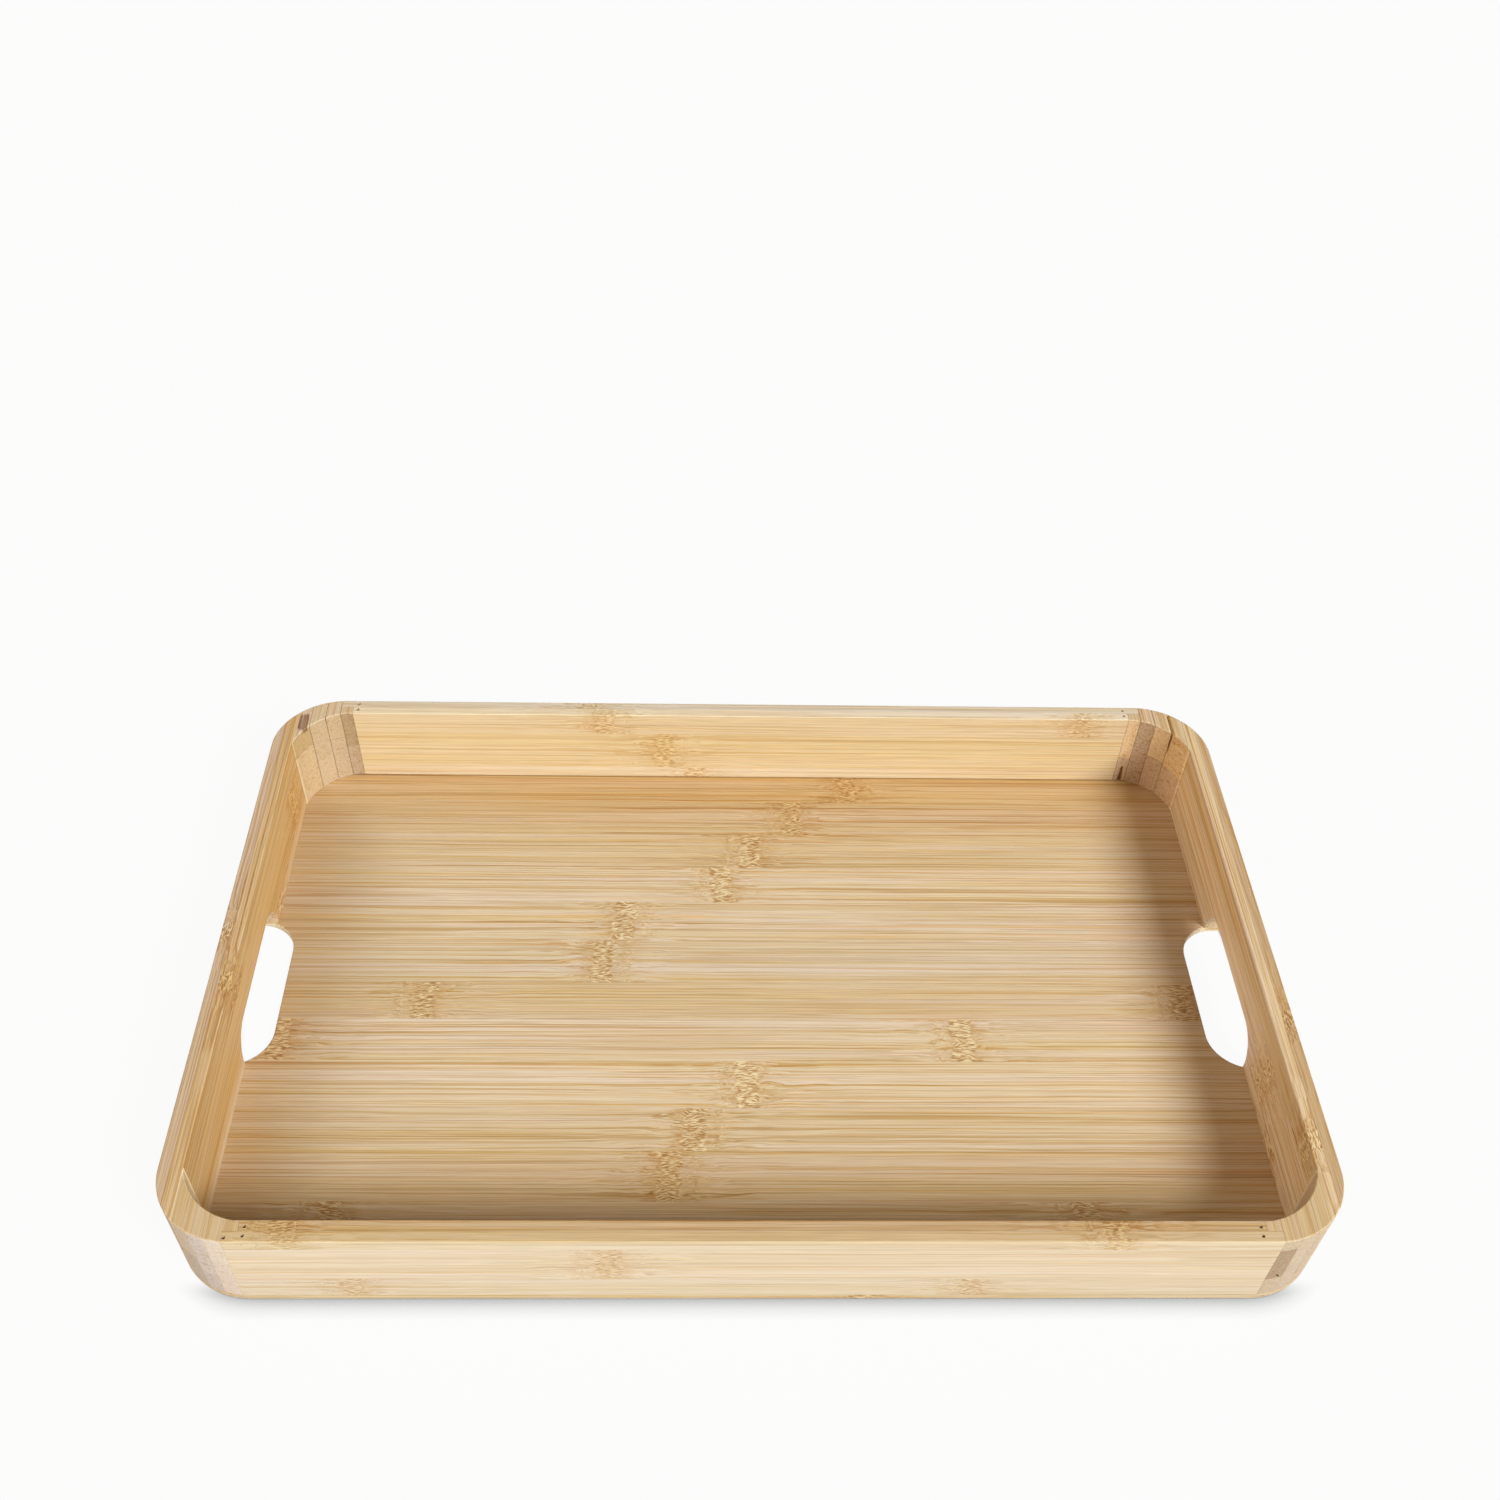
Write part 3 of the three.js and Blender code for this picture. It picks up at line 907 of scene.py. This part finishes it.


# Painted shade on the floor at the left end, at the right end and by the long rails, then the shade of
# the thin dark line at the foot of the long rails. Reaches are in mm
PAINTED_SHADE_LEFT = (0.73, 0.63, 0.53, 1.0)
PAINTED_SHADE_RIGHT = (0.88, 0.83, 0.82, 1.0)
PAINTED_SHADE_LONG = (0.80, 0.71, 0.58, 1.0)
PAINTED_SHADE_REACH = 37.0
# Half the length over which the left shade turns into the right one, and half the width of the
# transition between the ends and the long sides
PAINTED_SHADE_TURN = 60.0
PAINTED_SHADE_MITRE = 12.0
CREVICE_SHADE = (0.52, 0.42, 0.33)
CREVICE_REACH = 0.8


def add_painted_wall_shade(material):
    """Painted shade on the floor along the foot of the walls, and a thin dark line where the long
    rails stand on it."""
    g, shader, colour, (x, y, _), facing = open_material(material)
    to_end = g.math("SUBTRACT", WELL_X * MM_PER_METRE, g.math("ABSOLUTE", x))
    to_side = g.math("SUBTRACT", WELL_Y * MM_PER_METRE, g.math("ABSOLUTE", y))
    nearest = g.math("MAXIMUM", g.math("MINIMUM", to_end, to_side), 0.0)
    upwards = g.ramp(facing[2], 0.5, 0.9)
    end_shade = g.mix(g.ramp(x, -PAINTED_SHADE_TURN, PAINTED_SHADE_TURN), PAINTED_SHADE_LEFT, PAINTED_SHADE_RIGHT)
    nearer_side = g.math("SUBTRACT", to_end, to_side)
    by_long_rail = g.ramp(nearer_side, -PAINTED_SHADE_MITRE, PAINTED_SHADE_MITRE)
    shade = g.mix(by_long_rail, end_shade, PAINTED_SHADE_LONG)
    share = g.product(g.bell(nearest, PAINTED_SHADE_REACH), upwards)
    colour = g.mix(share, colour, shade, blend="MULTIPLY")
    crevice = g.product(g.bell(to_side, CREVICE_REACH), upwards)
    g.tree.links.new(g.tint(colour, crevice, CREVICE_SHADE), shader.inputs["Base Color"])


# Floor strips from the front edge to the rear edge: (lightness, warmth, knuckles along X in mm)
FLOOR_STRIPS = (
    (0.97, 0.5, (40.0,)),
    (1.02, -0.1, (-160.8, 128.9)),
    (0.97, 0.5, (-31.8,)),
    (1.02, 0.0, (-21.4,)),
    (1.10, -0.2, (-0.6,)),
    (1.08, -0.2, (-195.9, 90.1)),
    (1.00, 0.2, (-136.8, 188.0)),
    (1.01, -0.2, (-62.0,)),
    (1.05, -0.3, (-52.8,)),
    (1.05, -0.2, (-9.8,)),
    (1.00, 0.1, (3.4,)),
    (0.99, 0.3, (23.3,)),
    (1.02, 0.5, (50.7,)),
)


def make_floor(panel):
    for number, (lightness, warmth, knuckles) in enumerate(FLOOR_STRIPS, 1):
        node = f"floor_strip_{number:02d}"
        front, rear = spread_to_faces(node, 1, HALF_DEPTH)
        start = (-HALF_LENGTH - BEYOND, front, -BEYOND)
        end = (HALF_LENGTH + BEYOND, rear, HEIGHT)
        piece = cut_piece(panel, f"strip_{number:02d}", start, end)
        tone = toned(lightness, warmth)
        material = bamboo(piece.name, FLOOR_AXES, tone, float(number), knuckles)
        # Painted shade on the floor along the foot of the walls
        add_painted_wall_shade(material)
        finish_piece(piece, node, material)


# Rail plies: fibre contrast, then their strips, lowest first: (lightness, warmth, blush, then the
# places of the knuckles in mm)
RAIL_STRIPS = {
    "front_rail_outer_ply": (
        0.55,
        (0.99, -0.1, 0.2, -146.2, 79.2),
        (1.02, -0.1, 0.3, -52.4),
        (1.00, 0.1, 0.0, -166.0, 127.3),
    ),
    "front_rail_inner_ply": (
        0.9,
        (1.00, 0.3, 0.0, 60.0),
        (1.00, 0.4, 0.0, -90.0),
        (0.92, 0.6, 0.2, -166.0, 127.3),
    ),
    "rear_rail_inner_ply": (
        0.6,
        (1.22, -0.2, -0.2, -22.3),
        (1.16, 0.4, -0.4, -36.7),
        (1.17, 0.1, 0.0, -64.2, 160.8),
    ),
    "rear_rail_outer_ply": (
        0.8,
        (1.00, 0.2, 0.0, -120.0, 150.0),
        (1.03, 0.1, 0.0, 30.0),
        (1.02, -0.3, 0.0, -71.7),
    ),
    "left_rail_inner_ply": (
        1.1,
        (1.08, 0.9, 0.4, 47.7),
        (1.00, 1.8, 0.4, 96.0),
        (0.98, 1.7, 0.3, -26.4),
    ),
    "left_rail_outer_ply": (
        1.2,
        (0.98, 0.6, 0.3, 20.0),
        (1.00, 0.4, 0.3, -60.0),
        (0.94, 0.3, 0.4, 0.3),
    ),
    "right_rail_inner_ply": (
        1.4,
        (1.21, -0.4, 0.3, -80.0),
        (1.29, -0.3, 0.3, -56.5),
        (1.22, 0.0, 0.2, -100.5),
    ),
    "right_rail_outer_ply": (
        1.0,
        (1.00, 0.4, 0.2, 60.0),
        (1.03, 0.2, 0.2, -20.0),
        (0.97, 0.8, 0.4, -43.3),
    ),
}

# Tone of the rails' cut ends: (lightness, warmth, blush)
RAIL_END_TONE = (0.94, 0.4, 0.2)

# Shade of the narrow upper faces of each rail, against the wide faces of the same strips
RIM_SHADES = {
    "front_rail_outer_ply": (0.94, 0.89, 0.80),
    "front_rail_inner_ply": (0.94, 0.89, 0.78),
    "rear_rail_inner_ply": (0.98, 1.05, 1.18),
    "rear_rail_outer_ply": (0.98, 1.05, 1.18),
    "left_rail_inner_ply": (0.94, 0.99, 1.10),
    "left_rail_outer_ply": (0.96, 0.95, 0.98),
    "right_rail_inner_ply": (0.90, 0.88, 0.84),
    "right_rail_outer_ply": (0.89, 0.87, 0.84),
}
FIRST_RAIL_SEED = 20.0


def make_rails(ring):
    seed = FIRST_RAIL_SEED
    for node, (contrast, *strips) in RAIL_STRIPS.items():
        left, right = spread_to_faces(node, 0, HALF_LENGTH)
        front, rear = spread_to_faces(node, 1, HALF_DEPTH)
        seams = INNER_PLY_SEAMS if "inner" in node else OUTER_PLY_SEAMS
        levels = (FLOOR_TOP, *seams, HEIGHT + BEYOND)
        axes = LONG_RAIL_AXES if node.startswith(("front", "rear")) else END_RAIL_AXES
        for level, (lightness, warmth, blush, *knuckles) in enumerate(strips):
            start = (left, front, levels[level])
            end = (right, rear, levels[level + 1])
            piece = cut_piece(ring, f"{node}_{LEVEL_NAMES[level]}", start, end)
            tone = toned(lightness, warmth, blush)
            ends = shade_between(tone, toned(*RAIL_END_TONE))
            rim = RIM_SHADES[node]
            material = bamboo(piece.name, axes, tone, seed, knuckles, contrast, rim, ends)
            finish_piece(piece, node, material)
            seed += 1.0


# Block plies from the long rail outwards: fibre contrast, heights of the glue lines in mm, then
# (lightness, warmth, blush) of each strip, lowest first
BLOCKS = {
    "front_left": (
        (0.6, (20.0,), (1.10, -0.7, 0.3), (1.10, -0.7, 0.2)),
        (0.6, (26.0,), (1.06, -0.9, 0.9), (1.10, -1.0, 0.6)),
        (0.8, (15.0,), (0.92, -1.3, 1.3), (0.99, -1.5, 0.9)),
        (0.6, (24.0,), (0.82, -0.5, 0.7), (0.95, -0.4, 0.3)),
    ),
    "front_right": (
        (0.6, (24.0,), (0.84, -0.2, 0.3), (0.86, -0.1, 0.1)),
        (0.7, (15.0, 35.5), (0.82, -0.1, 0.4), (0.60, 0.8, 1.1), (0.84, -0.1, 0.2)),
        (0.6, (22.0,), (0.80, -0.2, 0.7), (0.83, -0.2, 0.3)),
        (0.6, (33.0,), (0.78, 0.0, 0.5), (0.81, 0.1, 0.3)),
    ),
    "rear_left": (
        (0.9, (22.0,), (0.82, 0.2, 0.6), (0.72, 0.7, 0.2)),
        (0.7, (28.0,), (0.88, 0.2, 0.4), (0.89, 0.4, 0.2)),
        (0.6, (20.0,), (0.90, 0.2, 0.3), (0.86, 0.3, 0.2)),
        (0.7, (31.0,), (0.92, 0.6, 0.1), (0.80, 1.2, -0.1)),
    ),
    "rear_right": (
        (0.9, (18.0,), (0.98, 0.4, 0.6), (1.20, 0.8, 0.3)),
        (1.3, (26.0,), (0.92, 0.2, 0.9), (0.86, 0.3, 0.8)),
        (0.9, (23.0,), (1.06, 0.2, 0.9), (1.28, 0.4, 0.1)),
        (1.0, (22.0,), (1.10, 0.3, 0.8), (1.28, 0.8, 0.1)),
    ),
}

# Tone of the blocks' upper faces, which is more even than their sides
BLOCK_RIMS = {
    "front_left": (0.92, 0.8, 0.0),
    "front_right": (0.94, 0.7, 0.0),
    "rear_left": (0.95, 0.3, 0.3),
    "rear_right": (0.96, 0.6, 0.2),
}

# Painted light, against the outer faces, on the faces that look into the tray where these lie in shade,
# on the blocks that need it
INWARD_PAINTED_LIGHT = {
    "front_left": (1.32, 1.27, 1.10),
    "front_right": (1.16, 1.14, 1.12),
}

# The pale line at a block's thin edge. It starts this far from the end rail, and is full from this far,
# in mm
FEATHER_SHADE = (1.32, 1.44, 1.52)
FEATHER_WIDTH = 0.5
FEATHER_FULL = 0.25

# Dark fibres on the upper face of one strip. Their middle and half size are along X and Y. They go from
# nothing to full between these depths under the surface. All in mm
STAINED_STRIP = "corner_rear_left_ply_4_top"
STAIN_PLACE = (-203.0, 127.4)
STAIN_HALF_SIZE = (2.2, 5.4)
STAIN_SHADE = (0.42, 0.30, 0.27)
STAIN_RAG = 9.0
STAIN_SOFTNESS = 0.25
STAIN_DEPTH = (2.5, 1.0)

FIRST_BLOCK_SEED = 50.0
SEEDS_PER_BLOCK = 9
SEEDS_PER_PLY = 2


def add_feather(material):
    """A pale line where a block's last ply thins out against the end rail."""
    g, shader, colour, place, _ = open_material(material)
    rail = WELL_X * MM_PER_METRE
    thin = g.ramp(g.math("ABSOLUTE", place[0]), rail - FEATHER_WIDTH, rail - FEATHER_FULL)
    g.tree.links.new(g.tint(colour, thin, FEATHER_SHADE), shader.inputs["Base Color"])


def add_inward_painted_light(material, corner):
    """Painted light on the faces of a block that look into the tray, where they lie in shade."""
    g, shader, colour, _, facing = open_material(material)
    side_x = 1.0 if "right" in corner else -1.0
    side_y = 1.0 if "rear" in corner else -1.0
    inwards = g.total(g.product(facing[0], -side_x), g.product(facing[1], -side_y))
    share = g.ramp(inwards, 0.3, 0.7)
    g.tree.links.new(g.tint(colour, share, INWARD_PAINTED_LIGHT[corner]), shader.inputs["Base Color"])


def add_stain(material):
    """Dark fibres with ragged ends on the upper face of a block."""
    g, shader, colour, (x, y, z), _ = open_material(material)
    rag = g.noise(g.product(x, 1.6), g.product(y, 0.15), 0.0)
    y = g.total(y, g.product(g.math("SUBTRACT", rag, 0.5), STAIN_RAG))
    share = 1.0
    for value, middle, half in zip((x, y), STAIN_PLACE, STAIN_HALF_SIZE):
        distance = g.math("ABSOLUTE", g.math("SUBTRACT", value, middle))
        share = g.product(g.ramp(distance, half + STAIN_SOFTNESS, half - STAIN_SOFTNESS), share)
    streak = g.noise(g.product(x, 1.8), g.product(y, 0.05), 3.0)
    surface = HEIGHT * MM_PER_METRE
    near_surface = g.ramp(z, surface - STAIN_DEPTH[0], surface - STAIN_DEPTH[1])
    share = g.product(share, g.ramp(streak, 0.30, 0.50, 0.55, 1.0), near_surface)
    g.tree.links.new(g.tint(colour, share, STAIN_SHADE), shader.inputs["Base Color"])


def block_material(name, corner, strip, seed, contrast, thins_out):
    tone = toned(*strip)
    rim = shade_between(tone, toned(*BLOCK_RIMS[corner]))
    material = bamboo(name, BLOCK_AXES, tone, seed, contrast=contrast, rim=rim)
    if thins_out:
        add_feather(material)
    # Painted light on the block's faces that look into the tray
    if corner in INWARD_PAINTED_LIGHT:
        add_inward_painted_light(material, corner)
    if name == STAINED_STRIP:
        add_stain(material)
    return material


def make_block(ring, corner, plies, first_seed):
    seam = FRONT_BLOCK_SEAM if corner.startswith("front") else REAR_BLOCK_SEAM
    for ply, (contrast, glue_lines, *strips) in enumerate(plies):
        node = f"corner_{corner}_ply_{ply + 1}"
        low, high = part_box(node)
        front, rear = spread_to_faces(node, 1, HALF_DEPTH)
        levels = (FLOOR_TOP, *(line * MM for line in glue_lines), HEIGHT + BEYOND)
        names = ("low", "top") if len(strips) == 2 else LEVEL_NAMES
        for level, strip in enumerate(strips):
            start = (low.x, front, levels[level])
            end = (high.x, rear, levels[level + 1])
            piece = cut_piece(ring, f"{node}_{names[level]}", start, end, seam)
            seed = first_seed + SEEDS_PER_PLY * ply + level
            thins_out = ply == len(plies) - 1
            material = block_material(piece.name, corner, strip, seed, contrast, thins_out)
            finish_piece(piece, node, material)


def make_blocks(ring):
    for index, (corner, plies) in enumerate(BLOCKS.items()):
        make_block(ring, corner, plies, FIRST_BLOCK_SEED + SEEDS_PER_BLOCK * index)


def make_pins():
    steel = make_steel()
    for name, x, y, low_z, high_z in pin_places():
        sections = [
            (low_z, PIN_TIP_RADIUS),
            (low_z + PIN_POINT, PIN_SHANK_RADIUS),
            (high_z - 2 * PIN_DOME, PIN_SHANK_RADIUS),
            (high_z - PIN_DOME, PIN_SHOULDER_RADIUS),
            (high_z, PIN_CAP_RADIUS),
        ]
        finish_piece(tube(f"{name}_wire", x, y, sections), name, steel)


# ---------------------------------------------------------------- build

bpy.context.scene.view_settings.view_transform = "Standard"
make_camera()
make_lamps()
make_sky()
make_ground()
Bamboo().build()
ring_master, panel_master = make_masters()
make_floor(panel_master)
make_rails(ring_master)
make_blocks(ring_master)
make_pins()
bpy.data.objects.remove(ring_master)
bpy.data.objects.remove(panel_master)
